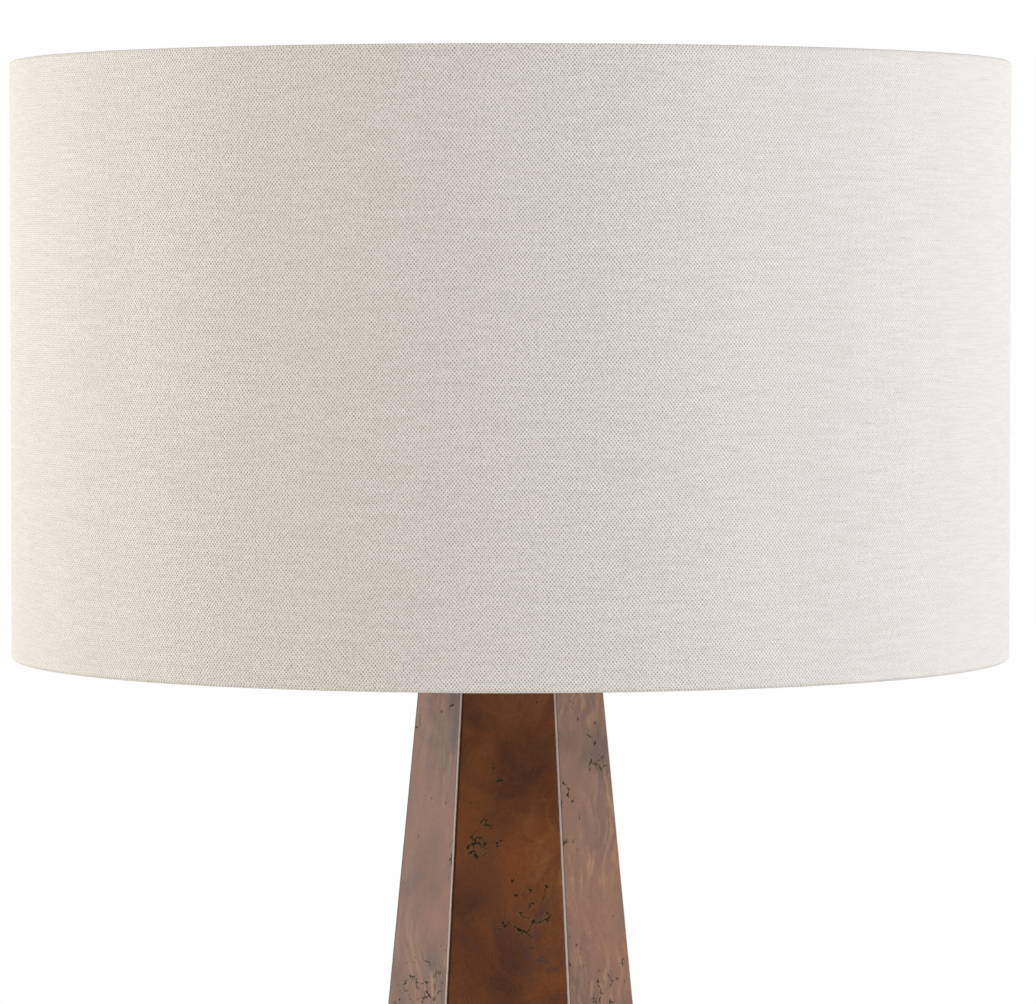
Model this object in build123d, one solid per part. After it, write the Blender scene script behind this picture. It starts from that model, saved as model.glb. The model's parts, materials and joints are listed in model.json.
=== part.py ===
"""A floor lamp: a six-sided tapered burl-wood body that divides into three legs, under a linen drum shade.

Millimetres, +Z up. The origin is on the floor, in the middle of the lamp, and the front is towards -Y.
"""

import os
from math import cos, pi, radians, sin, tan

from build123d import *

os.makedirs("parts", exist_ok=True)

# The drum shade
SHADE_RADIUS = 254.0
SHADE_BOTTOM = 1245.0
SHADE_TOP = SHADE_BOTTOM + 302.0
LINEN = 0.8
LINER = 0.5
RING_WIRE_RADIUS = 1.6
HEM_DEPTH = 14.0
SPIDER_DROP = 25.5
SPIDER_DIRECTIONS = (90.0, 210.0, 330.0)
SPIDER_WASHER_RADIUS = 16.0
SPIDER_HOLE = 5.55
SPIDER_BOSS = 5.45
SPIDER_BEND = 8.0

# The tapered hexagon: its corner radius falls by TAPER for each millimetre up
BODY_TOP = 1258.0
CORNER_RADIUS_FLOOR = 165.5
TAPER = 0.0962
ARRIS_ROUND = 1.2

# The legs: each is a third of the body in one piece, and narrows to its foot below the pointed openings
LEG_DIRECTIONS = {"leg_front": 270.0, "leg_right": 30.0, "leg_left": 150.0}
HALF_SECTOR = 60.0
FOOT_HALF_WIDTH = 38.0
LEG_SPREAD = 0.0408
LEG_DEPTH = 50.0
VAULT = 640.0
HOLLOW_BOTTOM = 700.0
HOLLOW_TOP = 1200.0
HOLLOW_WALL = 24.0
EDGE_EASE = 1.2

# Joinery, glides and the hub under the vault
DOWEL_RADIUS = 4.0
DOWEL_LENGTH = 36.0
DOWEL_HEIGHTS = (800.0, 940.0, 1080.0)
HUB_RADIUS = 37.0
HUB_THICKNESS = 5.0
HUB_SCREW_CIRCLE = 26.0
HUB_SCREW_SPREAD = 9.0
HUB_SCREW_HEAD = (4.5, 2.8)
WOOD_SCREW_RADIUS = 2.4
WOOD_SCREW_GRIP = 28.0
GLIDE_RADIUS = 11.0
GLIDE_HEIGHT = 4.0
GLIDE_INSET = 15.0
GLIDE_SPREAD = 24.0
GLIDE_SCREW_RADIUS = 1.9
GLIDE_SCREW_GRIP = 18.0
GLIDE_SCREW_HEAD_RADIUS = 4.0
GLIDE_SCREW_HEAD_HEIGHT = 1.6
GLIDE_SEAT_HEIGHT = 2.4
HOLE_PLAY = 0.05

# The lamp pipe, 1/8 IP, and what it clamps
PIPE_RADIUS = 5.1
PIPE_BORE = 4.0
PIPE_HOLE = 5.4
PIPE_BOTTOM = 618.0
PIPE_IN_SOCKET = 8.0
BUSHING_BORE = 3.2
WASHER_HEIGHT = 2.0
WASHER_RADIUS = 12.5
NUT_FLATS = 14.3
LOWER_NUT_HEIGHT = 4.0
CAP_PLATE_HEIGHT = 6.0
NECK_HEIGHT = 18.0
SADDLE_Z = BODY_TOP + CAP_PLATE_HEIGHT + NECK_HEIGHT
SADDLE_THICKNESS = 1.6
SADDLE_RISE = 8.0
SADDLE_WIDTH = 14.0
LOCK_NUT_HEIGHT = 3.2
SOCKET_Z = SADDLE_Z + SADDLE_THICKNESS + LOCK_NUT_HEIGHT

# The harp
HARP_WIRE = 2.0
HARP_FOOT_X = 33.0
HARP_BOW_X = 58.0
PRONG_HEIGHT = 10.4
FERRULE_RADIUS = 3.8
FERRULE_LENGTH = 18.0
SEAT_TOP = SHADE_TOP - SPIDER_DROP - WASHER_HEIGHT
SEAT_RADIUS = 10.0
SEAT_WIRE_DROP = 8.5
STUD_RADIUS = 3.17
STUD_HEIGHT = 14.0
RUNNING_PLAY = 0.06

# The socket, with its turn knob towards the front
SHELL_OUTER = 18.1
SHELL_INNER = 17.5
SHELL_TOP = SOCKET_Z + 62.0
INSULATOR_INNER = 16.5
INTERIOR_RADIUS = 16.2
INTERIOR_TOP = SOCKET_Z + 37.0
CAP_NECK_HEIGHT = 10.0
SCREW_SHELL_INNER = 13.25
TERMINAL_Z = SOCKET_Z + 24.0
TERMINAL_HEAD = (3.0, 13.0, 14.8)
SOCKET_SCREW_RADIUS = 1.5
SET_SCREW_Z = SOCKET_Z + 4.5
KNOB_Z = SOCKET_Z + 30.0
KNOB_RADIUS = 6.5
KNOB_NEAR = 22.0
KNOB_FAR = 36.0
KNOB_FLUTES = 12
KNOB_FLUTE_RADIUS = 0.7
KNOB_CAP = 2.0
SHAFT_RADIUS = 2.0
SHAFT_INNER_END = 4.0

# The bulb, heights above its contact
BULB_Z = INTERIOR_TOP + 3.3
BULB_CAP_RADIUS = SCREW_SHELL_INNER - 0.08
BULB_CAP_HEIGHT = 24.0
BULB_HOUSING_TOP = 60.0
BULB_RADIUS = 30.0
BULB_LENGTH = 108.0
BULB_WALL = 1.5
BULB_THREADS = 5
BULB_THREAD_PITCH = 3.63
BULB_THREAD_ROUND = 0.9


def corner_radius(z):
    return CORNER_RADIUS_FLOOR - TAPER * z


def face_distance(z):
    """From the axis to the middle of a face of the hexagon."""
    return corner_radius(z) * cos(pi / 6)


def leg_half_width(z):
    return FOOT_HALF_WIDTH + LEG_SPREAD * z


def place(direction, radial, across=0.0):
    """A point seen from above, a distance out from the axis in a direction, and a distance across it."""
    c = cos(radians(direction))
    s = sin(radians(direction))
    return (radial * c - across * s, radial * s + across * c)


def rod(radius, bottom, top, x=0.0, y=0.0):
    return Pos(x, y, bottom) * Cylinder(radius, top - bottom, align=(Align.CENTER, Align.CENTER, Align.MIN))


def tube(outer, inner, bottom, top):
    return rod(outer, bottom, top) - rod(inner, bottom, top)


def cross_rod(radius, near, far, z, direction):
    """A rod lying level, from near to far from the axis."""
    pin = Cylinder(radius, far - near, align=(Align.CENTER, Align.CENTER, Align.MIN))
    return Pos(0, 0, z) * Rot(0, 0, direction) * Rot(0, 90, 0) * Pos(0, 0, near) * pin


def outline(points):
    return make_face(Polyline(*points, close=True))


def spun(section, z=0.0):
    """A solid turned about the lamp's axis from a section drawn as (radius, height)."""
    return Pos(0, 0, z) * revolve(Plane.XZ * section, Axis.Z)


def hexagon_nut(hole, bottom, top):
    blank = Plane.XY.offset(bottom) * RegularPolygon(NUT_FLATS / 2, 6, major_radius=False)
    return extrude(blank, top - bottom) - rod(hole, bottom, top)


# The body and its legs


def tapered_hexagon():
    """The whole closed body, with a face towards +X."""
    low = Plane.XY.offset(GLIDE_HEIGHT) * RegularPolygon(corner_radius(GLIDE_HEIGHT), 6, rotation=30)
    high = Plane.XY.offset(BODY_TOP) * RegularPolygon(corner_radius(BODY_TOP), 6, rotation=30)
    body = loft([low.face(), high.face()], ruled=True)
    arrises = body.edges().filter_by(lambda edge: abs(edge.tangent_at(0.5).Z) > 0.9)
    return fillet(arrises, ARRIS_ROUND)


def leg_blank():
    """One third of the body, pointing along +X and narrowing to its foot."""
    reach = 1.3 * CORNER_RADIUS_FLOOR
    side = reach * tan(radians(HALF_SECTOR))
    sector = extrude(outline([(0, 0), (reach, -side), (reach, side)]), BODY_TOP)
    low = Plane.XY * Rectangle(4 * reach, 2 * leg_half_width(0))
    high = Plane.XY.offset(BODY_TOP) * Rectangle(4 * reach, 2 * leg_half_width(BODY_TOP))
    return tapered_hexagon() & sector & loft([low.face(), high.face()], ruled=True)


def space_behind_leg():
    """The open space behind a leg, from the floor up to the flat vault where the legs join."""
    low = face_distance(0) - LEG_DEPTH
    high = face_distance(VAULT) - LEG_DEPTH
    side = Plane.XZ * outline([(-1, 0), (low, 0), (high, VAULT), (-1, VAULT)])
    return extrude(side, CORNER_RADIUS_FLOOR, both=True)


def hollow_core():
    low = face_distance(HOLLOW_BOTTOM) - HOLLOW_WALL
    high = face_distance(HOLLOW_TOP) - HOLLOW_WALL
    return spun(outline([(0, HOLLOW_BOTTOM), (low, HOLLOW_BOTTOM), (high, HOLLOW_TOP), (0, HOLLOW_TOP)]))


def is_leg_corner(edge):
    """True for the long corners of a leg's cut sides, which are eased by hand."""
    middle = edge.center()
    on_cut_side = abs(abs(middle.Y) - leg_half_width(middle.Z)) < 0.5
    in_glued_joint = abs(abs(middle.Y) - middle.X * tan(radians(HALF_SECTOR))) < 0.5
    return on_cut_side and not in_glued_joint and edge.length > 4 * LEG_DEPTH


def dowel(direction, z, play=0.0):
    """A dowel across the glued joint that lies in this direction from the axis."""
    x, y = place(direction, face_distance(z) - HOLLOW_WALL / 2)
    return Pos(x, y, z) * Rot(0, 0, direction) * Rot(90, 0, 0) * Cylinder(
        DOWEL_RADIUS + play, DOWEL_LENGTH + 2 * play
    )


def dowels(play=0.0):
    joints = [direction + HALF_SECTOR for direction in LEG_DIRECTIONS.values()]
    return [dowel(joint, z, play) for joint in joints for z in DOWEL_HEIGHTS]


def hub_screw_places():
    offsets = (-HUB_SCREW_SPREAD, HUB_SCREW_SPREAD)
    return [place(d, HUB_SCREW_CIRCLE, across) for d in LEG_DIRECTIONS.values() for across in offsets]


def glide_places():
    radial = face_distance(0) - GLIDE_INSET
    offsets = (-GLIDE_SPREAD, GLIDE_SPREAD)
    return [place(d, radial, across) for d in LEG_DIRECTIONS.values() for across in offsets]


def leg(direction):
    blank = leg_blank() - space_behind_leg()
    blank = chamfer(blank.edges().filter_by(is_leg_corner), EDGE_EASE)
    blank = blank - rod(PIPE_HOLE, VAULT, BODY_TOP) - hollow_core()
    screw_holes = [
        rod(WOOD_SCREW_RADIUS + HOLE_PLAY, VAULT, VAULT + WOOD_SCREW_GRIP + HOLE_PLAY, x, y)
        for x, y in hub_screw_places()
    ]
    glide_hole = GLIDE_SCREW_RADIUS + HOLE_PLAY
    glide_top = GLIDE_HEIGHT + GLIDE_SCREW_GRIP + HOLE_PLAY
    glide_holes = [rod(glide_hole, GLIDE_HEIGHT, glide_top, x, y) for x, y in glide_places()]
    return Rot(0, 0, direction) * blank - dowels(HOLE_PLAY) - screw_holes - glide_holes


# What holds the legs, the pipe and the floor glides


def hub_plate():
    bottom = VAULT - HUB_THICKNESS
    holes = [rod(WOOD_SCREW_RADIUS + 2 * HOLE_PLAY, bottom, VAULT, x, y) for x, y in hub_screw_places()]
    plate = fillet(rod(HUB_RADIUS, bottom, VAULT).edges(), 1.0)
    return plate - rod(PIPE_HOLE, bottom, VAULT) - holes


def hub_screw(x, y):
    head_top = VAULT - HUB_THICKNESS
    radius, height = HUB_SCREW_HEAD
    head = fillet(rod(radius, head_top - height, head_top).edges().sort_by(Axis.Z)[0], 1.6)
    return Pos(x, y, 0) * (head + rod(WOOD_SCREW_RADIUS, head_top, VAULT + WOOD_SCREW_GRIP))


def hub_screws():
    return Compound([hub_screw(x, y).solid() for x, y in hub_screw_places()])


def lamp_pipe():
    return tube(PIPE_RADIUS, PIPE_BORE, PIPE_BOTTOM, SOCKET_Z + PIPE_IN_SOCKET)


def pipe_washer():
    top = VAULT - HUB_THICKNESS
    return tube(WASHER_RADIUS, PIPE_RADIUS + HOLE_PLAY, top - WASHER_HEIGHT, top)


def pipe_nut():
    top = VAULT - HUB_THICKNESS - WASHER_HEIGHT
    return hexagon_nut(PIPE_RADIUS + HOLE_PLAY, top - LOWER_NUT_HEIGHT, top)


def cord_bushing():
    """The smooth mouth that the cord would leave by, screwed on the lower end of the pipe."""
    hole = PIPE_RADIUS + HOLE_PLAY
    bore = BUSHING_BORE
    section = outline([(bore, -4), (5.5, -5), (7, -3.5), (7, 7), (hole, 7), (hole, 0), (bore, 0)])
    return spun(section, PIPE_BOTTOM)


def floor_glide(x, y):
    pad = fillet(rod(GLIDE_RADIUS, 0, GLIDE_HEIGHT).edges().sort_by(Axis.Z)[0], 1.0)
    head_room = rod(GLIDE_SCREW_HEAD_RADIUS + 0.2, 0, GLIDE_SEAT_HEIGHT)
    return Pos(x, y, 0) * (pad - head_room - rod(GLIDE_SCREW_RADIUS + HOLE_PLAY, 0, GLIDE_HEIGHT))


def floor_glides():
    return Compound([floor_glide(x, y).solid() for x, y in glide_places()])


def glide_screw(x, y):
    seat = GLIDE_SEAT_HEIGHT
    head = rod(GLIDE_SCREW_HEAD_RADIUS, seat - GLIDE_SCREW_HEAD_HEIGHT, seat)
    return Pos(x, y, 0) * (head + rod(GLIDE_SCREW_RADIUS, seat, GLIDE_HEIGHT + GLIDE_SCREW_GRIP))


def glide_screws():
    return Compound([glide_screw(x, y).solid() for x, y in glide_places()])


# The brass stack on top of the body, and the harp


def cap_plate():
    hole = PIPE_RADIUS + HOLE_PLAY
    section = outline([(hole, 0), (33, 0), (33, 1.6), (28, 3.4), (10, 6), (hole, 6)])
    return spun(section, BODY_TOP)


def neck():
    hole = PIPE_RADIUS + HOLE_PLAY
    section = outline([(hole, 0), (9, 0), (9, 2), (6.8, 5), (6.8, 13), (9, 16), (9, 18), (hole, 18)])
    return spun(section, BODY_TOP + CAP_PLATE_HEIGHT)


def harp_saddle():
    """A bent strip clamped on the pipe, with an upright prong at each end for the harp."""
    top = SADDLE_RISE + SADDLE_THICKNESS
    half = [(17, 0), (31, SADDLE_RISE), (37, SADDLE_RISE), (37, top), (30.4, top), (16.4, SADDLE_THICKNESS)]
    mirrored = [(-x, z) for x, z in reversed(half)]
    strip = extrude(Plane.XZ.offset(-SADDLE_WIDTH / 2) * outline(half + mirrored), SADDLE_WIDTH)
    prongs = [rod(HARP_WIRE, top, top + PRONG_HEIGHT, x) for x in (-HARP_FOOT_X, HARP_FOOT_X)]
    hole = rod(PIPE_RADIUS + HOLE_PLAY, 0, SADDLE_THICKNESS)
    return Pos(0, 0, SADDLE_Z) * (strip + prongs - hole)


def lock_nut():
    return hexagon_nut(PIPE_RADIUS + HOLE_PLAY, SADDLE_Z + SADDLE_THICKNESS, SOCKET_Z)


def harp_wire():
    start = SADDLE_Z + SADDLE_RISE + SADDLE_THICKNESS + PRONG_HEIGHT
    top = SEAT_TOP - SEAT_WIRE_DROP
    half = [(HARP_FOOT_X, start), (HARP_FOOT_X, start + 30), (HARP_BOW_X, start + 78), (HARP_BOW_X, top)]
    points = half + [(-x, z) for x, z in reversed(half)]
    bends = [25, 40, 50, 50, 40, 25]
    path = FilletPolyline(*[(x, 0, z) for x, z in points], radius=bends)
    return sweep(Plane(path @ 0, z_dir=path % 0) * Circle(HARP_WIRE), path=path)


def harp_seat():
    """The fitting at the top of the harp: a disc that carries the shade, and the stud for the finial."""
    section = outline(
        [
            (0, -12.5), (5.5, -12.5), (5.5, -5), (SEAT_RADIUS, -3.5), (SEAT_RADIUS, 0), (SPIDER_BOSS, 0),
            (SPIDER_BOSS, 1.6), (STUD_RADIUS, 1.6), (STUD_RADIUS, STUD_HEIGHT), (0, STUD_HEIGHT),
        ]
    )
    wire_hole = cross_rod(HARP_WIRE + HOLE_PLAY, -SEAT_RADIUS, SEAT_RADIUS, -SEAT_WIRE_DROP, 0)
    return Pos(0, 0, SEAT_TOP) * (spun(section) - wire_hole)


def harp_ferrule(x):
    bottom = SADDLE_Z + SADDLE_RISE + SADDLE_THICKNESS
    return Pos(x, 0, 0) * tube(FERRULE_RADIUS, HARP_WIRE + RUNNING_PLAY, bottom, bottom + FERRULE_LENGTH)


# The socket and its switch


def knob_opening(radius):
    return cross_rod(radius, INTERIOR_RADIUS, SHELL_OUTER + 1, KNOB_Z, 270)


def socket_cap():
    hole = PIPE_RADIUS + HOLE_PLAY
    neck_outer = 7.0
    section = outline(
        [
            (hole, 0), (neck_outer, 0), (neck_outer, 9), (17, 9), (18.9, 11), (18.9, 20),
            (18.2, 20), (18.2, 11.3), (16.7, CAP_NECK_HEIGHT), (hole, CAP_NECK_HEIGHT),
        ]
    )
    screw_hole = cross_rod(SOCKET_SCREW_RADIUS + HOLE_PLAY, 0, neck_outer + 1, SET_SCREW_Z, 90)
    return spun(section, SOCKET_Z) - screw_hole


def socket_set_screw():
    return cross_rod(SOCKET_SCREW_RADIUS, PIPE_RADIUS + HOLE_PLAY, 9.5, SET_SCREW_Z, 90)


def socket_shell():
    return tube(SHELL_OUTER, SHELL_INNER, SOCKET_Z + 12, SHELL_TOP) - knob_opening(4.2)


def socket_insulator():
    return tube(SHELL_INNER - 0.2, INSULATOR_INNER, SOCKET_Z + 12.5, SHELL_TOP - 1) - knob_opening(4.0)


def socket_interior():
    block = rod(INTERIOR_RADIUS, SOCKET_Z + CAP_NECK_HEIGHT, INTERIOR_TOP)
    lead_chamber = rod(6, SOCKET_Z + CAP_NECK_HEIGHT, SOCKET_Z + CAP_NECK_HEIGHT + 6)
    shaft_bore = cross_rod(SHAFT_RADIUS + RUNNING_PLAY, SHAFT_INNER_END, INTERIOR_RADIUS + 1, KNOB_Z, 270)
    pockets = [cross_rod(3.6, 13, INTERIOR_RADIUS + 1, TERMINAL_Z, d) for d in (0, 180)]
    screw_bores = [cross_rod(SOCKET_SCREW_RADIUS + HOLE_PLAY, 8, 13, TERMINAL_Z, d) for d in (0, 180)]
    return block - lead_chamber - shaft_bore - pockets - screw_bores


def terminal_screw(direction):
    radius, near, far = TERMINAL_HEAD
    shank = cross_rod(SOCKET_SCREW_RADIUS, 8, near, TERMINAL_Z, direction)
    return cross_rod(radius, near, far, TERMINAL_Z, direction) + shank


def terminal_screws():
    return Compound([terminal_screw(direction).solid() for direction in (0, 180)])


def screw_shell():
    top = SHELL_TOP - 1 - INTERIOR_TOP
    outer = SCREW_SHELL_INNER + 0.5
    inner = SCREW_SHELL_INNER
    section = outline([(inner, 0), (15.5, 0), (15.5, 0.6), (outer, 0.6), (outer, top), (inner, top)])
    return spun(section, INTERIOR_TOP)


def centre_contact():
    """A sprung brass leaf that stands up under the bulb's tip."""
    leaf = outline([(-9, 0), (-4, 0), (-1, 2.8), (2.5, 2.8), (2.5, 3.2), (-1.2, 3.2), (-4.2, 0.5), (-9, 0.5)])
    return Pos(0, 0, INTERIOR_TOP) * Rot(0, 0, 90) * extrude(Plane.XZ.offset(-2.5) * leaf, 5)


def switch_shaft():
    return cross_rod(SHAFT_RADIUS, SHAFT_INNER_END, KNOB_FAR - KNOB_CAP, KNOB_Z, 270)


def switch_knob():
    blank = cross_rod(KNOB_RADIUS, KNOB_NEAR, KNOB_FAR, KNOB_Z, 270)
    knob = fillet(blank.edges().filter_by(GeomType.CIRCLE), 0.8)
    flutes = []
    for step in range(KNOB_FLUTES):
        angle = 2 * pi * step / KNOB_FLUTES
        x = KNOB_RADIUS * cos(angle)
        z = KNOB_RADIUS * sin(angle)
        flutes.append(Pos(x, 0, z) * cross_rod(KNOB_FLUTE_RADIUS, KNOB_NEAR, KNOB_FAR, KNOB_Z, 270))
    return knob - flutes - cross_rod(SHAFT_RADIUS, KNOB_NEAR, KNOB_FAR - KNOB_CAP, KNOB_Z, 270)


# The bulb


def bulb_cap():
    """The screw cap, with its thread drawn as rounded rings."""
    section = outline([(10.5, 4), (11.5, 3), (12.5, 5), (12.5, BULB_CAP_HEIGHT), (10.5, BULB_CAP_HEIGHT)])
    out = BULB_CAP_RADIUS - BULB_THREAD_ROUND
    heights = [6.5 + BULB_THREAD_PITCH * turn for turn in range(BULB_THREADS)]
    return spun(section + [Pos(out, height) * Circle(BULB_THREAD_ROUND) for height in heights], BULB_Z)


def bulb_tip_insulator():
    return spun(outline([(3.6, 0.8), (5, 0.8), (10.5, 3.2), (10.5, 4), (3.6, 4)]), BULB_Z)


def bulb_tip_contact():
    return spun(outline([(0, 0), (3.6, 0.4), (3.6, 3), (0, 3)]), BULB_Z)


def bulb_housing():
    base = BULB_CAP_HEIGHT
    section = outline(
        [
            (0, base), (13.6, base), (14.6, 34), (25.6, BULB_HOUSING_TOP + 2), (24, BULB_HOUSING_TOP + 2),
            (24, BULB_HOUSING_TOP), (12, 38), (0, 38),
        ]
    )
    return spun(section, BULB_Z)


def bulb_board():
    return rod(23.8, BULB_Z + BULB_HOUSING_TOP, BULB_Z + BULB_HOUSING_TOP + 1.6)


def bulb_dome():
    centre = BULB_LENGTH - BULB_RADIUS
    shell = Sphere(BULB_RADIUS) - Sphere(BULB_RADIUS - BULB_WALL)
    above = rod(BULB_RADIUS + 1, BULB_HOUSING_TOP + 2 - centre, BULB_RADIUS + 1)
    return Pos(0, 0, BULB_Z + centre) * (shell & above)


# The shade


def ring(z):
    return Pos(0, 0, z) * Torus(SHADE_RADIUS - LINEN - RING_WIRE_RADIUS, RING_WIRE_RADIUS)


def spider_arm(direction, wire):
    """One arm, level from the washer and then up to the top ring."""
    ring_radius = SHADE_RADIUS - LINEN - RING_WIRE_RADIUS
    ring_z = SHADE_TOP - LINEN - RING_WIRE_RADIUS
    level = SEAT_TOP + WASHER_HEIGHT / 2
    path = FilletPolyline((14, 0, level), (232, 0, level), (ring_radius, 0, ring_z), radius=SPIDER_BEND)
    return Rot(0, 0, direction) * sweep(Plane(path @ 0, z_dir=path % 0) * Circle(wire), path=path)


def spider_arms(wire):
    return [spider_arm(direction, wire) for direction in SPIDER_DIRECTIONS]


def shade_spider():
    washer = rod(SPIDER_WASHER_RADIUS, SEAT_TOP, SEAT_TOP + WASHER_HEIGHT)
    hole = rod(SPIDER_HOLE, SEAT_TOP - WASHER_HEIGHT, SEAT_TOP + 2 * WASHER_HEIGHT)
    return washer + spider_arms(RING_WIRE_RADIUS) - hole - ring(SHADE_TOP - LINEN - RING_WIRE_RADIUS)


def rolled_hem():
    """Section of the linen where it turns over the top ring and is glued back on the liner."""
    wire_out = SHADE_RADIUS - LINEN - RING_WIRE_RADIUS
    wire_up = SHADE_TOP - LINEN - RING_WIRE_RADIUS
    bend = Pos(wire_out, wire_up) * (Circle(RING_WIRE_RADIUS + LINEN) - Circle(RING_WIRE_RADIUS))
    over = bend & Pos(wire_out, wire_up + 5) * Rectangle(20, 10)
    inner = wire_out - RING_WIRE_RADIUS
    glued = SHADE_RADIUS - LINEN - LINER
    low = SHADE_TOP - HEM_DEPTH
    tail = outline(
        [
            (inner - LINEN, wire_up), (inner - LINEN, wire_up - 1.6),
            (glued - LINEN, wire_up - 5.6), (glued - LINEN, low), (glued, low), (glued, wire_up - 5.3),
            (inner, wire_up - 1.4), (inner, wire_up),
        ]
    )
    return over + tail


def shade_linen():
    half_height = (SHADE_TOP - SHADE_BOTTOM) / 2
    middle = SHADE_BOTTOM + half_height
    wall_height = 2 * (half_height - LINEN - RING_WIRE_RADIUS)
    wall = Pos(SHADE_RADIUS - LINEN / 2, middle) * Rectangle(LINEN, wall_height)
    top_hem = rolled_hem()
    bottom_hem = Pos(0, 2 * middle) * mirror(top_hem, Plane.XZ)
    notches = spider_arms(RING_WIRE_RADIUS + HOLE_PLAY)
    return spun(wall + top_hem + bottom_hem) - notches


def shade_liner():
    outer = SHADE_RADIUS - LINEN
    edge = LINEN + 2 * RING_WIRE_RADIUS
    return tube(outer, outer - LINER, SHADE_BOTTOM + edge, SHADE_TOP - edge)


def finial():
    """A turned brass button: flange, neck and ball, threaded on the stud."""
    base = SEAT_TOP + WASHER_HEIGHT
    bore = outline([(0, 0), (STUD_RADIUS + RUNNING_PLAY, 0), (STUD_RADIUS + RUNNING_PLAY, 13), (0, 13)])
    ball = Pos(0, 17) * Circle(9) & Pos(10, 17) * Rectangle(20, 40)
    section = outline([(0, 0), (9, 0), (9, 2), (4.8, 4), (4.8, 17), (0, 17)]) + ball - bore
    return spun(section, base)


def build():
    """Every sub-part, by the name of its node."""
    parts = {name: leg(direction) for name, direction in LEG_DIRECTIONS.items()}
    parts["stave_dowels"] = Compound([pin.solid() for pin in dowels()])
    parts["ferrule_right"] = harp_ferrule(HARP_FOOT_X)
    parts["ferrule_left"] = harp_ferrule(-HARP_FOOT_X)
    parts["shade_top_ring"] = ring(SHADE_TOP - LINEN - RING_WIRE_RADIUS)
    parts["shade_bottom_ring"] = ring(SHADE_BOTTOM + LINEN + RING_WIRE_RADIUS)
    single = [
        hub_plate, hub_screws, lamp_pipe, pipe_washer, pipe_nut, cord_bushing, floor_glides, glide_screws,
        cap_plate, neck, harp_saddle, lock_nut, harp_wire, harp_seat,
        socket_cap, socket_set_screw, socket_shell, socket_insulator, socket_interior, terminal_screws,
        screw_shell, centre_contact, switch_shaft, switch_knob,
        bulb_cap, bulb_tip_insulator, bulb_tip_contact, bulb_housing, bulb_board, bulb_dome,
        shade_spider, shade_linen, shade_liner, finial,
    ]
    for maker in single:
        parts[maker.__name__] = maker()
    return parts


for node, shape in build().items():
    export_step(shape, f"parts/{node}.step")
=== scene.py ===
import json
import math

import bmesh
import bpy
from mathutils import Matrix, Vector


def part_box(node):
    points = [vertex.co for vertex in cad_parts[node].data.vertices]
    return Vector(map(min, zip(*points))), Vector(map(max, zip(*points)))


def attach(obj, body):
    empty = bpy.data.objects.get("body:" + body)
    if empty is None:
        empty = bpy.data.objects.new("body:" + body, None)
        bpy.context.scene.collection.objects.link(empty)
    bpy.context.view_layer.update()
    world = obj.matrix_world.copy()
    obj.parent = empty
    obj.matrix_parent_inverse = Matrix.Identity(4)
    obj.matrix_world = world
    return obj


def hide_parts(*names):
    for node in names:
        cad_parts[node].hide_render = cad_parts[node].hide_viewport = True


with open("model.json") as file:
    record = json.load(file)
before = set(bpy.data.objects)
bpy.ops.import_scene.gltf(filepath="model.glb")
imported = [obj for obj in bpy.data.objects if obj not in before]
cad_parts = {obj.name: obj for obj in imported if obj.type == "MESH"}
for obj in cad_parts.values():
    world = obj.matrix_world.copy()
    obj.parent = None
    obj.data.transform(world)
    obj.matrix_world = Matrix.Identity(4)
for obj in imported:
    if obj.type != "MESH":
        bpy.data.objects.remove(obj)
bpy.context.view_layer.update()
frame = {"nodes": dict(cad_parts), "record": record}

# ---------------------------------------------------------------------------
# Places and sizes, in metres
# ---------------------------------------------------------------------------
MM = 0.001
SHADE_LOW, SHADE_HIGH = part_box("shade_linen")
SHADE_RADIUS = SHADE_HIGH[0]
SHADE_BOTTOM = SHADE_LOW[2]
SHADE_TOP = SHADE_HIGH[2]
CLOTH = 0.8 * MM
RING_WIRE = 1.6 * MM
HEM_DEPTH = 14 * MM
HEM_GLUE = 0.5 * MM
DRUM_STEPS = 240
WELD = 0.01 * MM
SHARP_BEND = math.radians(40)

# The lap seam: how far the cloth laps, the strip's thickness, how far it stands out, and its gap to each rim
SEAM_LAP = 10 * MM
SEAM_CLOTH = 0.5 * MM
SEAM_RISE = 0.25 * MM
SEAM_END = 3.6 * MM
SEAM_STEPS = 6

# The body's tapered hexagon: its corner radius at the floor, and how much it shrinks for each metre up
CORNER_RADIUS = 165.5 * MM
TAPER = 0.0962

# Linen yarn, from one thread to the next. The upright warp fits a whole even number of times round the drum.
DRUM_GIRTH = 2 * math.pi * SHADE_RADIUS
WARP = DRUM_GIRTH / (2 * round(DRUM_GIRTH / (2 * 0.86 * MM)))
WEFT = 1.04 * MM


# ---------------------------------------------------------------------------
# Materials
# ---------------------------------------------------------------------------
def colour(code):
    """A hex colour as it is seen, turned linear for the shader."""
    channels = [int(code[i:i + 2], 16) / 255 for i in (1, 3, 5)]
    return [c / 12.92 if c <= 0.04045 else ((c + 0.055) / 1.055) ** 2.4 for c in channels] + [1]


def add(tree, kind, sockets=(), give=None, **settings):
    """Adds a node with its settings, and gives its first output in use, or the one named by give.

    sockets holds the inputs by name or number, or as a tuple in their own order. Each one is a value, or an
    output to link to.
    """
    node = tree.nodes.new("ShaderNode" + kind)
    for name, value in settings.items():
        setattr(node, name, value)
    for key, value in (sockets if isinstance(sockets, dict) else dict(enumerate(sockets))).items():
        if isinstance(value, bpy.types.NodeSocket):
            tree.links.new(value, node.inputs[key])
        else:
            node.inputs[key].default_value = value
    return node.outputs[give] if give else next(socket for socket in node.outputs if socket.enabled)


def overlaid(tree, figure, mask, strength, code):
    """The figure with a colour laid over it where the mask shows."""
    share = add(tree, "Math", (mask, strength), operation="MULTIPLY")
    return add(tree, "Mix", {0: share, 6: figure, 7: colour(code)}, data_type="RGBA")


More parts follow.
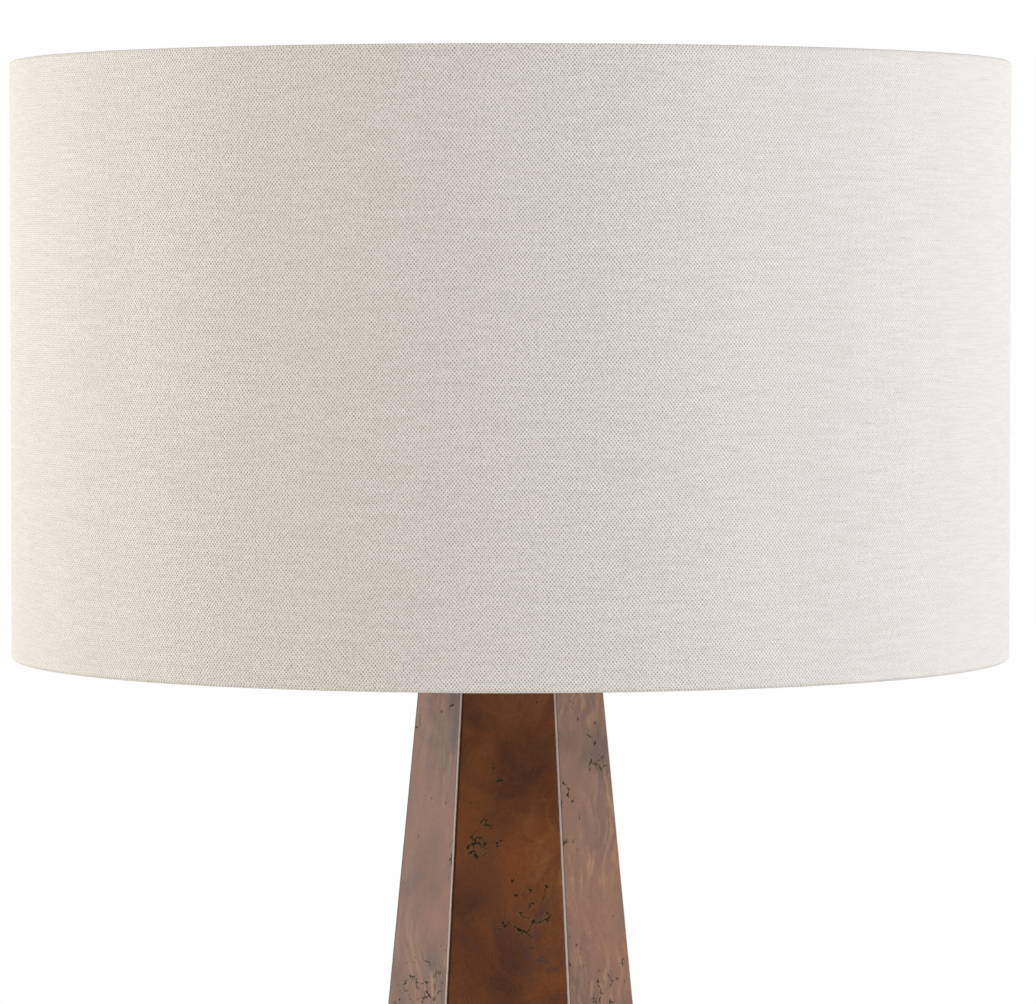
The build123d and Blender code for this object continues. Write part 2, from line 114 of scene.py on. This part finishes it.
def finish_named(name, base, roughness, **shader):
    """A new material with its shader, and the tree to draw the rest in."""
    material = bpy.data.materials.new(name)
    material.use_nodes = True
    tree = material.node_tree
    skin = tree.nodes["Principled BSDF"]
    skin.inputs["Base Color"].default_value = colour(base)
    skin.inputs["Roughness"].default_value = roughness
    for key, value in shader.items():
        skin.inputs[key.replace("_", " ")].default_value = value
    return material, tree, skin


def facets(tree):
    """Which of the body's six faces a point is on, and its place across it, out from the axis, and up."""
    place = add(tree, "TexCoord", give="Object")
    x, y, z = add(tree, "SeparateXYZ", (place,)).node.outputs
    sixth = math.pi / 3
    angle = add(tree, "Math", (y, x), operation="ARCTAN2")
    sector = add(tree, "Math", (angle, sixth / 2), operation="SUBTRACT")
    sector = add(tree, "Math", (sector, sixth), operation="DIVIDE")
    face = add(tree, "Math", (sector,), operation="ROUND")
    middle = add(tree, "Math", (face, sixth, sixth / 2), operation="MULTIPLY_ADD")
    turn = add(tree, "Math", (angle, middle), operation="SUBTRACT")
    square = add(tree, "Math", (y, y), operation="MULTIPLY")
    square = add(tree, "Math", (x, x, square), operation="MULTIPLY_ADD")
    radius = add(tree, "Math", (square,), operation="SQRT")
    sine = add(tree, "Math", (turn,), operation="SINE")
    cosine = add(tree, "Math", (turn,), operation="COSINE")
    across = add(tree, "Math", (radius, sine), operation="MULTIPLY")
    out = add(tree, "Math", (radius, cosine), operation="MULTIPLY")
    return face, across, out, z


def drifting(tree, vector, size, reach):
    """The vector pushed about by soft noise of a size, as far as reach, as grain swirls round a burl."""
    noise = add(tree, "TexNoise", {"Vector": vector, "Scale": 1 / size, "Detail": 2}, "Color")
    centred = add(tree, "VectorMath", (noise, (0.5, 0.5, 0.5)), operation="SUBTRACT")
    return add(tree, "VectorMath", (centred, (reach,) * 3, vector), operation="MULTIPLY_ADD")


def patches(tree, vector, size, low, high, seed, detail=1):
    """A mask of soft patches of a size, in a pattern of its own for each seed.

    It is clear where the noise is under low, and full where it is over high.
    """
    sockets = {"Vector": vector, "Scale": 1 / size, "Detail": detail, "Roughness": 0.5, "W": seed}
    noise = add(tree, "TexNoise", sockets, noise_dimensions="4D")
    return add(tree, "MapRange", (noise, low, high), interpolation_type="SMOOTHSTEP")


def burl_veneer():
    """Burl veneer under semi-gloss lacquer, a leaf of its own on each face, mitred at the arrises.

    Walnut stained. The eye sees soft clouds of brown and orange, slanting feathery flames, short black
    branching fissures with grey-green filler, grey-violet buds, dark pins, and a pale line along each arris,
    rubbed wood with a painted highlight.
    """
    material, tree, skin = finish_named("burl_veneer_lacquered", "#6b3d20", 0.34, IOR=1.5)
    face, across, out, z = facets(tree)
    flat = add(tree, "CombineXYZ", (across, out, z))
    leaf_number = add(tree, "Math", (face, 7.3), operation="ADD")
    leaf = add(tree, "TexWhiteNoise", {"W": leaf_number}, "Color", noise_dimensions="1D")
    wood = add(tree, "VectorMath", (leaf, (3, 3, 3), flat), operation="MULTIPLY_ADD")
    swirl = drifting(tree, drifting(tree, wood, 111 * MM, 70 * MM), 26.3 * MM, 20 * MM)

    # Clouds: darker and lighter brown, and an orange glow
    sockets = {"Vector": swirl, "Scale": 1 / (38.5 * MM), "Detail": 5, "Roughness": 0.6, "W": 0}
    clouds = add(tree, "TexNoise", sockets, noise_dimensions="4D")
    light = add(tree, "MapRange", (clouds, 0.30, 0.70), interpolation_type="SMOOTHSTEP")
    figure = overlaid(tree, colour("#45230f"), light, 1, "#7a4520")
    figure = overlaid(tree, figure, patches(tree, wood, 91 * MM, 0.42, 0.68, 2.0, detail=2), 0.40, "#91542a")

    # Flames: slanting feathery streaks of lighter wood, in patches, and livelier on some leaves than others
    slant = add(tree, "Mapping", {"Vector": swirl, "Rotation": (0, 0.75, 0),
                                  "Scale": (1 / (5.26 * MM), 1 / (5.26 * MM), 1 / (41.7 * MM))})
    flame = add(tree, "TexNoise", {"Vector": slant, "Scale": 1, "Detail": 3, "Roughness": 0.5})
    flame = add(tree, "MapRange", (flame, 0.40, 0.76), interpolation_type="SMOOTHSTEP")
    here = patches(tree, wood, 62.5 * MM, 0.42, 0.66, 4.0, detail=2)
    flame = add(tree, "Math", (flame, here), operation="MULTIPLY")
    lively = add(tree, "SeparateXYZ", (leaf,))
    lively = add(tree, "MapRange", (lively, 0.1, 0.9, 0.6, 1.4), interpolation_type="SMOOTHSTEP")
    flame = add(tree, "Math", (flame, lively), operation="MULTIPLY")
    figure = overlaid(tree, figure, flame, 0.55, "#a97a4c")

    # Buds: small clusters of grey-violet rounds
    rounds = add(tree, "TexVoronoi", {"Vector": swirl, "Scale": 1 / (8.33 * MM), "Smoothness": 0.5},
                 feature="SMOOTH_F1")
    buds = add(tree, "MapRange", (rounds, 0.12, 0.45, 1, 0), interpolation_type="SMOOTHSTEP")
    buds = add(tree, "Math", (buds, patches(tree, wood, 66.7 * MM, 0.58, 0.66, 3.0)), operation="MULTIPLY")
    figure = overlaid(tree, figure, buds, 0.55, "#4a3233")

    # Fissures: short, crooked and branching, with grey-green filler in and beside them
    jagged = drifting(tree, drifting(tree, wood, 14.3 * MM, 12 * MM), 2.38 * MM, 4.5 * MM)
    cells = add(tree, "TexVoronoi", {"Vector": jagged, "Scale": 1 / (8.33 * MM)}, feature="DISTANCE_TO_EDGE")
    breaks = add(tree, "TexNoise", {"Vector": wood, "Scale": 1 / (5.26 * MM), "Detail": 2, "W": 5.0},
                 noise_dimensions="4D")
    groups = add(tree, "TexNoise", {"Vector": wood, "Scale": 1 / (41.7 * MM), "Detail": 1, "W": 9.0},
                 noise_dimensions="4D")
    pieces = add(tree, "Math", (breaks, 0.65, groups), operation="MULTIPLY_ADD")
    crack = add(tree, "MapRange", (cells, 0.020, 0.060, 1, 0), interpolation_type="SMOOTHSTEP")
    open_here = add(tree, "MapRange", (pieces, 0.990, 1.025), interpolation_type="SMOOTHSTEP")
    crack = add(tree, "Math", (crack, open_here), operation="MULTIPLY")
    filler = add(tree, "MapRange", (cells, 0.05, 0.20, 1, 0), interpolation_type="SMOOTHSTEP")
    filled_here = add(tree, "MapRange", (pieces, 0.965, 1.06), interpolation_type="SMOOTHSTEP")
    filler = add(tree, "Math", (filler, filled_here), operation="MULTIPLY")
    figure = overlaid(tree, figure, filler, 0.50, "#65522e")
    figure = overlaid(tree, figure, crack, 0.90, "#20140a")

    # Pins: dark dots about a millimetre across
    dots = add(tree, "TexVoronoi", {"Vector": wood, "Scale": 1 / (8.33 * MM)})
    pins = add(tree, "MapRange", (dots, 0.04, 0.09, 1, 0), interpolation_type="SMOOTHSTEP")
    pins = add(tree, "Math", (pins, patches(tree, wood, 33.3 * MM, 0.50, 0.56, 6.0)), operation="MULTIPLY")
    figure = overlaid(tree, figure, pins, 0.7, "#2a170d")

    # Pores are finer than this, and drawn 0.6 mm across and 2 mm long so that they just show as a grain
    pores = add(tree, "Mapping", {"Vector": swirl, "Scale": (1 / (0.59 * MM), 1 / (0.59 * MM), 1 / (2 * MM))})
    pore = add(tree, "TexNoise", {"Vector": pores, "Scale": 1, "Detail": 2})
    grain = add(tree, "MapRange", (pore, 0.25, 0.75, 0.25, 0.75), interpolation_type="SMOOTHSTEP")
    figure = add(tree, "Mix", {0: 0.45, 6: figure, 7: grain}, data_type="RGBA", blend_type="SOFT_LIGHT")

    # Arrises: rubbed to pale wood and painted pale as a highlight, with a dark line of glue beside it. Each
    # leaf laps the next one, so the pale edge lies more on one side and the glue only on the other.
    half_side = add(tree, "Math", (z, -TAPER / 2, CORNER_RADIUS / 2), operation="MULTIPLY_ADD")
    from_middle = add(tree, "Math", (across,), operation="ABSOLUTE")
    from_arris = add(tree, "Math", (half_side, from_middle), operation="SUBTRACT")
    face_out = add(tree, "Math", (half_side, math.sqrt(3)), operation="MULTIPLY")
    depth = add(tree, "Math", (face_out, out), operation="SUBTRACT")
    outside = add(tree, "MapRange", (depth, 2.5 * MM, 4 * MM, 1, 0), interpolation_type="SMOOTHSTEP")
    wander = add(tree, "TexNoise", {"Vector": wood, "Scale": 1 / (3.85 * MM), "Detail": 3, "W": 8.0},
                 noise_dimensions="4D")
    wavy = add(tree, "Math", (wander, 0.5 * MM, from_arris), operation="MULTIPLY_ADD")
    lapped = add(tree, "Math", (across, 0), operation="LESS_THAN")
    glue = add(tree, "MapRange", (wavy, 1.4 * MM, 2.1 * MM, 1, 0), interpolation_type="SMOOTHSTEP")
    glue = add(tree, "Math", (glue, lapped), operation="MULTIPLY")
    glue = add(tree, "Math", (glue, outside), operation="MULTIPLY")
    edge = add(tree, "Math", (lapped, 0.4 * MM, wavy), operation="MULTIPLY_ADD")
    # Pale rubbed wood and a painted highlight along each arris
    wear_and_highlight = add(tree, "MapRange", (edge, 0.95 * MM, 1.20 * MM, 1, 0), interpolation_type="SMOOTHSTEP")
    wear_and_highlight = add(tree, "Math", (wear_and_highlight, outside), operation="MULTIPLY")
    figure = overlaid(tree, figure, glue, 0.85, "#180c06")
    figure = overlaid(tree, figure, wear_and_highlight, 0.85, "#cdb3a6")
    tree.links.new(figure, skin.inputs["Base Color"])

    # The lacquer loses its gloss in the fissures and pins, sinks into them, and lies in slight waves
    holes = add(tree, "Math", (crack, pins), operation="MAXIMUM")
    dull = add(tree, "MapRange", (clouds, 0.3, 0.7, 0.40, 0.30), interpolation_type="SMOOTHSTEP")
    dull = add(tree, "Math", (holes, 0.3, dull), operation="MULTIPLY_ADD")
    tree.links.new(dull, skin.inputs["Roughness"])
    gloss = add(tree, "Math", (holes, -0.4, 0.5), operation="MULTIPLY_ADD")
    tree.links.new(gloss, skin.inputs["Specular IOR Level"])
    waves = add(tree, "TexNoise", {"Vector": wood, "Scale": 1 / (22.2 * MM), "Detail": 1, "W": 1.0},
                noise_dimensions="4D")
    grain_height = add(tree, "Math", (pore, 0.06), operation="MULTIPLY")
    height = add(tree, "Math", (waves, 0.8, grain_height), operation="MULTIPLY_ADD")
    height = add(tree, "Math", (holes, -0.35, height), operation="MULTIPLY_ADD")
    bump = add(tree, "Bump", {"Height": height, "Strength": 0.5, "Distance": 0.25 * MM})
    tree.links.new(bump, skin.inputs["Normal"])
    return material


def woven_linen():
    """Natural linen in plain weave, unbleached off-white, stretched on the drum.

    The eye sees a fine check of yarns going over and under, painted shade in a pinhole beside each
    crossing, yarns that differ a little in tone, and a few thick slubs lying round the drum.
    """
    material, tree, skin = finish_named("linen_plain_weave", "#e4dfd8", 0.9, Sheen_Weight=0.05,
                                        Sheen_Roughness=0.5, Specular_IOR_Level=0.2)
    cloth = add(tree, "UVMap", uv_map="Cloth")
    # Spun yarn wanders sideways by part of a thread, over a few millimetres
    wander = add(tree, "TexNoise", {"Vector": cloth, "Scale": 1 / (4.35 * MM), "Detail": 1}, "Color",
                 noise_dimensions="2D")
    aside = add(tree, "VectorMath", (wander, (0.9 * WARP,) * 3, cloth), operation="MULTIPLY_ADD")
    around, up, _ = add(tree, "SeparateXYZ", (aside,)).node.outputs
    # High where the weft goes over, low where it goes under, in a check two threads wide
    warp = add(tree, "Math", (around, math.pi / WARP), operation="MULTIPLY")
    warp = add(tree, "Math", (warp,), operation="SINE")
    weft = add(tree, "Math", (up, math.pi / WEFT), operation="MULTIPLY")
    weft = add(tree, "Math", (weft,), operation="SINE")
    check = add(tree, "Math", (warp, weft), operation="MULTIPLY")

    # A weft yarn keeps its tone for about two centimetres
    weft_number = add(tree, "Math", (up, WEFT), operation="DIVIDE")
    weft_number = add(tree, "Math", (weft_number,), operation="FLOOR")
    along = add(tree, "Math", (around, 22 * MM), operation="DIVIDE")
    apart = add(tree, "Math", (weft_number, 5.7), operation="MULTIPLY")
    run = add(tree, "CombineXYZ", (along, apart))
    tone = add(tree, "TexNoise", {"Vector": run, "Scale": 1, "Detail": 0}, noise_dimensions="2D")
    tone = add(tree, "MapRange", (tone, 0.3, 0.7), interpolation_type="SMOOTHSTEP")
    shade = overlaid(tree, colour("#f5f1ea"), tone, 1, "#faf6f0")

    # Pinholes, darkened with painted shade, some deeper than others. The painted shade is drawn fainter
    # towards the drum's right, to stand for side light that fills them there. The fading is fixed to the
    # cloth, so it turns with the shade.
    depth = add(tree, "TexNoise", {"Vector": cloth, "Scale": 1 / (2 * MM), "Detail": 2},
                noise_dimensions="2D")
    depth = add(tree, "MapRange", (depth, 0.3, 0.7, 0.55, 0.95), interpolation_type="SMOOTHSTEP")
    low = add(tree, "MapRange", (check, -0.85, 0.10, 1, 0), interpolation_type="SMOOTHSTEP")
    low = add(tree, "Math", (low, depth), operation="MULTIPLY")
    right = add(tree, "SeparateXYZ", (add(tree, "TexCoord", give="Object"),))
    fainter = add(tree, "MapRange", (right, 0.1 * SHADE_RADIUS, 0.8 * SHADE_RADIUS, 0, 0.55),
                  interpolation_type="SMOOTHSTEP")
    to_even = add(tree, "Math", (0.22, low), operation="SUBTRACT")
    low = add(tree, "Math", (to_even, fainter, low), operation="MULTIPLY_ADD")
    shade = overlaid(tree, shade, low, 1, "#928a7f")

    # Slubs: thick places in single weft yarns, about 13 mm long
    lengthways = add(tree, "Mapping", {"Vector": aside, "Scale": (1 / (13.3 * MM), 1 / WEFT, 1)})
    slubs = add(tree, "TexNoise", {"Vector": lengthways, "Scale": 1, "Detail": 0}, noise_dimensions="2D")
    slubs = add(tree, "MapRange", (slubs, 0.80, 0.90), interpolation_type="SMOOTHSTEP")
    shade = overlaid(tree, shade, slubs, 0.3, "#cbc7c0")
    tree.links.new(shade, skin.inputs["Base Color"])
    height = add(tree, "Math", (slubs, 0.5, check), operation="MULTIPLY_ADD")
    bump = add(tree, "Bump", {"Height": height, "Strength": 0.8, "Distance": 0.12 * MM})
    tree.links.new(bump, skin.inputs["Normal"])
    return material


def mottled(name, base, other, roughness, spread, marks, relief, squeeze=(1, 1, 1), **shader):
    """A finish that varies between two colours and two roughnesses, with a fine relief, along one noise.

    marks is the size of the noise's marks. squeeze shortens them along an axis, or lengthens them if under 1.
    """
    material, tree, skin = finish_named(name, base, roughness, **shader)
    place = add(tree, "TexCoord", give="Object")
    grain = add(tree, "Mapping", {"Vector": place, "Scale": [by / marks for by in squeeze]})
    noise = add(tree, "TexNoise", {"Vector": grain, "Scale": 1, "Detail": 4, "Roughness": 0.6})
    share = add(tree, "MapRange", (noise, 0.3, 0.7), interpolation_type="SMOOTHSTEP")
    tree.links.new(overlaid(tree, colour(base), share, 1, other), skin.inputs["Base Color"])
    rough = add(tree, "MapRange", (noise, 0.3, 0.7, roughness - spread, roughness + spread),
                interpolation_type="SMOOTHSTEP")
    tree.links.new(rough, skin.inputs["Roughness"])
    bump = add(tree, "Bump", {"Height": noise, "Strength": 0.4, "Distance": relief})
    tree.links.new(bump, skin.inputs["Normal"])
    return material


def styrene_liner():
    """Pressed white styrene sheet behind the linen: smooth, faintly warm, with a soft broad sheen."""
    return mottled("styrene_sheet_white", "#efede8", "#eae8e2", roughness=0.48, spread=0.05,
                   marks=29 * MM, relief=0.02 * MM, Specular_IOR_Level=0.45)


def satin_brass():
    """Spun brass, satin lacquered: a warm metal with fine marks round the turning axis."""
    return mottled("brass_satin_spun", "#b8924f", "#a57e3e", roughness=0.30, spread=0.07,
                   marks=11 * MM, relief=0.03 * MM, squeeze=(1, 1, 28), Metallic=1.0)


def zinc_plate():
    """Zinc plated steel: a cool grey metal with a faint cloudy spangle."""
    return mottled("steel_zinc_plated", "#b4b6b8", "#9a9da0", roughness=0.36, spread=0.08,
                   marks=2.4 * MM, relief=0.02 * MM, Metallic=1.0)


def nickel_plate():
    """Nickel plated brass of a screw cap: bright, slightly yellow, with rolling marks round it."""
    return mottled("nickel_plated_brass", "#c9c5ba", "#b5b0a4", roughness=0.20, spread=0.05,
                   marks=8.3 * MM, relief=0.02 * MM, squeeze=(1, 1, 20), Metallic=1.0)


def drawn_aluminium():
    """Deep drawn aluminium: pale grey metal with draw lines along its height."""
    return mottled("aluminium_deep_drawn", "#c8c9ca", "#b3b5b7", roughness=0.34, spread=0.07,
                   marks=1.1 * MM, relief=0.02 * MM, squeeze=(1, 1, 0.05), Metallic=1.0)


def moulded_phenolic():
    """Moulded black phenolic: nearly black, with the dull gloss and slight mottle of wood-flour filler."""
    return mottled("phenolic_black_moulded", "#171412", "#231d19", roughness=0.38, spread=0.08,
                   marks=1.4 * MM, relief=0.04 * MM)


def moulded_white():
    """Injection moulded white polycarbonate of the bulb's housing: fine spark texture, low gloss."""
    return mottled("polycarbonate_white_moulded", "#e9e9e6", "#dededb", roughness=0.42, spread=0.05,
                   marks=0.67 * MM, relief=0.05 * MM)


def opal_dome():
    """Opal polycarbonate: milky, light goes in and comes out softened, with a smooth satin skin."""
    return mottled("polycarbonate_opal", "#f3f2ee", "#ecebe6", roughness=0.30, spread=0.03,
                   marks=3.3 * MM, relief=0.01 * MM, Subsurface_Weight=0.4,
                   Subsurface_Radius=(4 * MM, 4 * MM, 4 * MM))


def natural_nylon():
    """Natural nylon glides: waxy off-white with scuffs from the floor."""
    return mottled("nylon_natural", "#d8d3c6", "#bdb6a6", roughness=0.45, spread=0.10,
                   marks=3.8 * MM, relief=0.06 * MM, Subsurface_Weight=0.2,
                   Subsurface_Radius=(3 * MM, 2 * MM, 2 * MM))


def pressed_card():
    """Pressed fibre card of the socket's insulating sleeve: brown, matt, with short fibres."""
    return mottled("card_pressed_fibre", "#6e5c43", "#57472f", roughness=0.85, spread=0.05,
                   marks=1.7 * MM, relief=0.08 * MM, squeeze=(1, 1, 0.3))


def turned_beech():
    """Turned beech dowel: pale pinkish brown with fine straight fleck along the pin."""
    return mottled("beech_turned", "#c39a6b", "#ad8455", roughness=0.62, spread=0.06,
                   marks=1.1 * MM, relief=0.06 * MM, squeeze=(0.08, 0.08, 1))


def painted_wire():
    """Steel wire dipped in white paint: thick smooth skin that gathers in slight waves."""
    return mottled("steel_wire_white_paint", "#e4e1db", "#d6d2ca", roughness=0.32, spread=0.06,
                   marks=2.9 * MM, relief=0.08 * MM)


def studio_floor():
    """Seamless studio floor, matt and plain."""
    return finish_named("floor_matt_pale", "#efeeec", 0.9, Specular_IOR_Level=0.2)[0]


FINISHES = {
    "burl_wood": burl_veneer, "linen": woven_linen, "liner": styrene_liner, "brass": satin_brass,
    "zinc_steel": zinc_plate, "nickel": nickel_plate, "aluminium": drawn_aluminium,
    "black_plastic": moulded_phenolic, "white_plastic": moulded_white, "opal": opal_dome,
    "nylon": natural_nylon, "card": pressed_card, "beech": turned_beech, "white_wire": painted_wire,
}


def dress_frame(finishes):
    """Every CAD node takes the finish of its material slot."""
    for entry in frame["record"]["subparts"]:
        node = frame["nodes"][entry["node"]]
        node.data.materials.clear()
        node.data.materials.append(finishes[entry["material_slot"]])


# ---------------------------------------------------------------------------
# The linen cover
# ---------------------------------------------------------------------------
def new_piece(name, mesh, finish, body):
    """A finished mesh as a visible object that rides a body and takes a material slot."""
    data = bpy.data.meshes.new(name)
    mesh.to_mesh(data)
    mesh.free()
    piece = bpy.data.objects.new(name, data)
    bpy.context.scene.collection.objects.link(piece)
    data.materials.append(finish)
    data.shade_smooth()
    data.set_sharp_from_angle(angle=SHARP_BEND)
    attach(piece, body)
    return piece


def arc(centre_out, centre_up, radius, start, end, steps):
    """Points (out, up) round an arc, angles in degrees."""
    angles = [math.radians(start + (end - start) * i / steps) for i in range(steps + 1)]
    return [(centre_out + radius * math.cos(a), centre_up + radius * math.sin(a)) for a in angles]


def rolled_rim():
    """Half of the cover's section, from the middle of its wall up, as (out, down from the rim)."""
    wire_out = SHADE_RADIUS - CLOTH - RING_WIRE
    wire_down = -(CLOTH + RING_WIRE)
    wall = SHADE_RADIUS - 0.20 * MM
    glued = SHADE_RADIUS - CLOTH - HEM_GLUE
    crease = [(wall, -4.2 * MM), (wall - 0.1 * MM, -3.5 * MM), (SHADE_RADIUS - 0.05 * MM, -2.9 * MM)]
    outer = arc(wire_out, wire_down, RING_WIRE + CLOTH, 0, 180, 10)
    tail = [
        (wire_out - RING_WIRE - CLOTH, -4.0 * MM), (glued - CLOTH, -8.0 * MM), (glued - CLOTH, -HEM_DEPTH),
        (glued, -HEM_DEPTH), (glued, -7.7 * MM), (wire_out - RING_WIRE, -3.8 * MM),
    ]
    inner = arc(wire_out, wire_down, RING_WIRE, 180, 0, 8)
    return crease + outer + tail + inner


def drum_cover(finish):
    """The linen, one closed skin: its wall, and both rims rolled over their wires and glued back inside."""
    rim = rolled_rim()
    top = [(out, SHADE_TOP + down) for out, down in rim]
    bottom = [(out, SHADE_BOTTOM - down) for out, down in reversed(rim)]
    mesh = bmesh.new()
    corners = [mesh.verts.new((0, out, up)) for out, up in top + bottom]
    edges = [mesh.edges.new((a, b)) for a, b in zip(corners, corners[1:] + corners[:1])]
    bmesh.ops.spin(mesh, geom=corners + edges, cent=(0, 0, 0), axis=(0, 0, 1), angle=2 * math.pi,
                   steps=DRUM_STEPS, use_merge=True)
    bmesh.ops.remove_doubles(mesh, verts=mesh.verts, dist=WELD)
    bmesh.ops.recalc_face_normals(mesh, faces=mesh.faces)
    lay_cloth(mesh)
    piece = new_piece("linen_cover", mesh, finish, "shade")
    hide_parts("shade_linen")
    return piece


def lay_cloth(mesh):
    """Unrolls the cloth: metres round the drum from the back, and metres up, carried on over each rim."""
    layer = mesh.loops.layers.uv.new("Cloth")
    middle = SHADE_RADIUS - CLOTH - RING_WIRE
    for face in mesh.faces:
        centre = face.calc_center_median()
        heading = math.atan2(-centre.x, -centre.y) + math.pi
        for loop in face.loops:
            place = loop.vert.co
            drift = math.atan2(-place.x, -place.y) + math.pi - heading
            turn = heading + (drift + math.pi) % (2 * math.pi) - math.pi
            out = math.hypot(place.x, place.y)
            up = place.z
            if centre.xy.length < middle:
                rim = SHADE_TOP if centre.z > (SHADE_TOP + SHADE_BOTTOM) / 2 else SHADE_BOTTOM
                up = 2 * rim - place.z + (middle - out) * (1 if rim == SHADE_TOP else -1)
            loop[layer].uv = (turn * SHADE_RADIUS, up)


def lap_seam(finish):
    """The cloth's upright join at the back, where one edge laps over the other."""
    reach = SEAM_LAP / SHADE_RADIUS
    out = SHADE_RADIUS + SEAM_RISE
    heights = (SHADE_BOTTOM + SEAM_END, SHADE_TOP - SEAM_END)
    mesh = bmesh.new()
    ends = [mesh.verts.new((out * math.sin(-reach / 2), out * math.cos(reach / 2), up)) for up in heights]
    edge = mesh.edges.new(ends)
    bmesh.ops.spin(mesh, geom=[*ends, edge], cent=(0, 0, 0), axis=(0, 0, 1), angle=-reach,
                   steps=SEAM_STEPS)
    bmesh.ops.recalc_face_normals(mesh, faces=mesh.faces)
    mesh.faces.ensure_lookup_table()
    if mesh.faces[0].normal.y < 0:
        bmesh.ops.reverse_faces(mesh, faces=mesh.faces)
    bmesh.ops.solidify(mesh, geom=mesh.faces[:], thickness=SEAM_CLOTH)
    bmesh.ops.recalc_face_normals(mesh, faces=mesh.faces)
    lay_cloth(mesh)
    piece = new_piece("linen_lap_seam", mesh, finish, "shade")
    return piece


# ---------------------------------------------------------------------------
# Studio
# ---------------------------------------------------------------------------
# Where the camera stands and looks, where the soft lights stand, and the dark zone behind the camera
VIEW_TURN = math.radians(1.6)
VIEW_DISTANCE = 2.83
EYE_BELOW_RIM = 0.105
LOOK_RIGHT = 3.8 * MM
LOOK_DOWN = math.radians(2.395)
LENS_MM = 192.9
BOX_DISTANCE = 2.6
BOX_HEIGHT = 2.1
BOX_SIZE = (1.4, 3.0)
BOX_TARGET = (0, 0, 1.2)
FLOOR_RADIUS = 6
DARK_TURN = math.radians(-4)
DARK_CORE = math.radians(13)
DARK_EDGE = math.radians(37)
ROOM_LIGHT = 1.60


def floor_disc(finish):
    """The studio's floor, a wide plain disc under the lamp."""
    mesh = bmesh.new()
    bmesh.ops.create_circle(mesh, cap_ends=True, segments=128, radius=FLOOR_RADIUS)
    data = bpy.data.meshes.new("studio_floor")
    mesh.to_mesh(data)
    mesh.free()
    floor = bpy.data.objects.new("studio_floor", data)
    bpy.context.scene.collection.objects.link(floor)
    data.materials.append(finish)


def aim(thing, target):
    """Turns a light or a camera to face a point."""
    thing.rotation_euler = (Vector(target) - thing.location).to_track_quat("-Z", "Y").to_euler()


def camera():
    """A long lens, level with the shade's upper half and a little to its right, that looks slightly down."""
    data = bpy.data.cameras.new("camera")
    data.sensor_width = 36
    data.lens = LENS_MM
    data.clip_end = 60
    eye = bpy.data.objects.new("camera", data)
    bpy.context.scene.collection.objects.link(eye)
    height = SHADE_TOP - EYE_BELOW_RIM
    eye.location = (VIEW_DISTANCE * math.sin(VIEW_TURN), -VIEW_DISTANCE * math.cos(VIEW_TURN), height)
    beside = LOOK_RIGHT * Vector((math.cos(VIEW_TURN), math.sin(VIEW_TURN), 0))
    aim(eye, beside + Vector((0, 0, height - VIEW_DISTANCE * math.tan(LOOK_DOWN))))
    bpy.context.scene.camera = eye


def soft_box(name, turn, watts, tint):
    """A large soft light, standing at an angle round from the camera, positive to its right."""
    data = bpy.data.lights.new(name, "AREA")
    data.shape = "RECTANGLE"
    data.size, data.size_y = BOX_SIZE
    data.energy = watts
    data.color = colour(tint)[:3]
    box = bpy.data.objects.new(name, data)
    box.visible_camera = False
    bpy.context.scene.collection.objects.link(box)
    angle = math.radians(turn)
    box.location = (BOX_DISTANCE * math.sin(angle), -BOX_DISTANCE * math.cos(angle), BOX_HEIGHT)
    aim(box, BOX_TARGET)


def studio_world():
    """White to the camera. To everything else, a pale room, dim overhead and dark behind the camera."""
    world = bpy.data.worlds.new("studio")
    bpy.context.scene.world = world
    world.use_nodes = True
    tree = world.node_tree
    towards = add(tree, "TexCoord", give="Generated")
    across, _, up = add(tree, "SeparateXYZ", (towards,)).node.outputs
    to_right = add(tree, "MapRange", (across, -0.8, 0.8), interpolation_type="SMOOTHSTEP")
    room = overlaid(tree, colour("#f0eeea"), to_right, 1, "#f4f0ea")
    overhead = add(tree, "MapRange", (up, 0.35, 0.80), interpolation_type="SMOOTHSTEP")
    room = overlaid(tree, room, overhead, 1, "#6a6866")
    behind = (math.sin(DARK_TURN), -math.cos(DARK_TURN), 0)
    facing = add(tree, "VectorMath", (towards, behind), operation="DOT_PRODUCT")
    dark = add(tree, "MapRange", (facing, math.cos(DARK_EDGE), math.cos(DARK_CORE)),
               interpolation_type="SMOOTHSTEP")
    room = overlaid(tree, room, dark, 1, "#2c2a28")
    seen = add(tree, "LightPath", give="Is Camera Ray")
    sky = tree.nodes["Background"]
    tree.links.new(overlaid(tree, room, seen, 1, "#ffffff"), sky.inputs["Color"])
    strength = add(tree, "Math", (seen, 1 - ROOM_LIGHT, ROOM_LIGHT), operation="MULTIPLY_ADD")
    tree.links.new(strength, sky.inputs["Strength"])


def studio():
    """Floor, lights, room and camera."""
    floor_disc(studio_floor())
    soft_box("left_soft_box", -96, 24, "#fffcfa")
    soft_box("right_soft_box", 72, 26, "#d6e4ff")
    studio_world()
    camera()
    bpy.context.scene.view_settings.view_transform = "Standard"


# ---------------------------------------------------------------------------
# The lamp
# ---------------------------------------------------------------------------
finishes = {slot: make() for slot, make in FINISHES.items()}
dress_frame(finishes)
drum_cover(finishes["linen"])
lap_seam(finishes["linen"])
studio()
